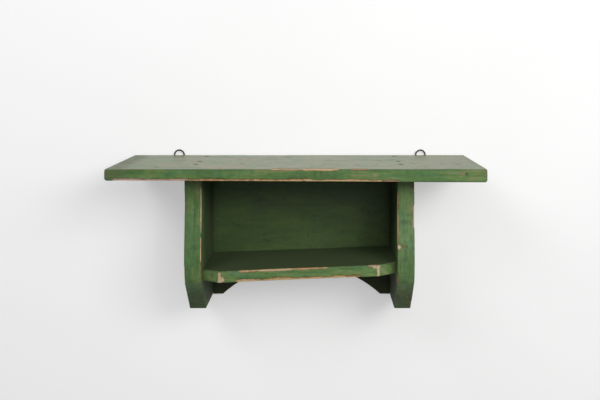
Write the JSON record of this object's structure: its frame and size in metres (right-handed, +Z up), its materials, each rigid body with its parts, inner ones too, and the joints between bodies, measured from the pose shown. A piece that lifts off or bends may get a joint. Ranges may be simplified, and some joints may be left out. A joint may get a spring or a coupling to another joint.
{
  "type": "wall shelf with brackets",
  "caption": "Antique painted wooden wall shelf: long top on two shaped side brackets, a lower shelf with cut corners, an arched back and iron hanging rings.",
  "frame": {"origin": "on the plane of the wood's back faces, which bear on the wall, at the middle of the top board's length and half the height of the woodwork", "axes": "+X along the top board to the viewer's right, +Y into the wall, +Z up; the front faces -Y"},
  "size_m": [0.7, 0.2063, 0.3053],
  "materials": {
    "top_board_wood": "worn satin paint, bare at the edges",
    "bracket_left_wood": "worn satin paint, bare at the edges",
    "bracket_right_wood": "worn satin paint, bare at the edges",
    "lower_shelf_wood": "worn satin paint, bare at the edges",
    "back_panel_wood": "worn satin paint, bare at the edges",
    "painted_nail": "painted over, rusted where the paint is gone",
    "staple_iron": "darkened, lightly rusted",
    "ring_iron": "darkened, lightly rusted"
  },
  "bodies": {
    "shelf": {"top_board": "top_board_wood", "bracket_left": "bracket_left_wood", "bracket_right": "bracket_right_wood", "lower_shelf": "lower_shelf_wood", "back_panel": "back_panel_wood", "top_nails_left": "painted_nail", "top_nails_right": "painted_nail", "shelf_nails_left": "painted_nail", "shelf_nails_right": "painted_nail", "shelf_nails_back": "painted_nail", "panel_nails_left": "painted_nail", "panel_nails_right": "painted_nail", "staple_left": "staple_iron", "staple_right": "staple_iron"},
    "ring_left": {"ring_left": "ring_iron"},
    "ring_right": {"ring_right": "ring_iron"}
  },
  "joints": [
    {"name": "ring_left_swing", "type": "hinge", "parent": "shelf", "child": "ring_left", "pos_m": [-0.255, 0.0024, 0.1366], "axis": [-1, 0, 0], "range_deg": [0, 180]},
    {"name": "ring_right_swing", "type": "hinge", "parent": "shelf", "child": "ring_right", "pos_m": [0.2575, 0.0024, 0.1366], "axis": [-1, 0, 0], "range_deg": [0, 180]}
  ]
}
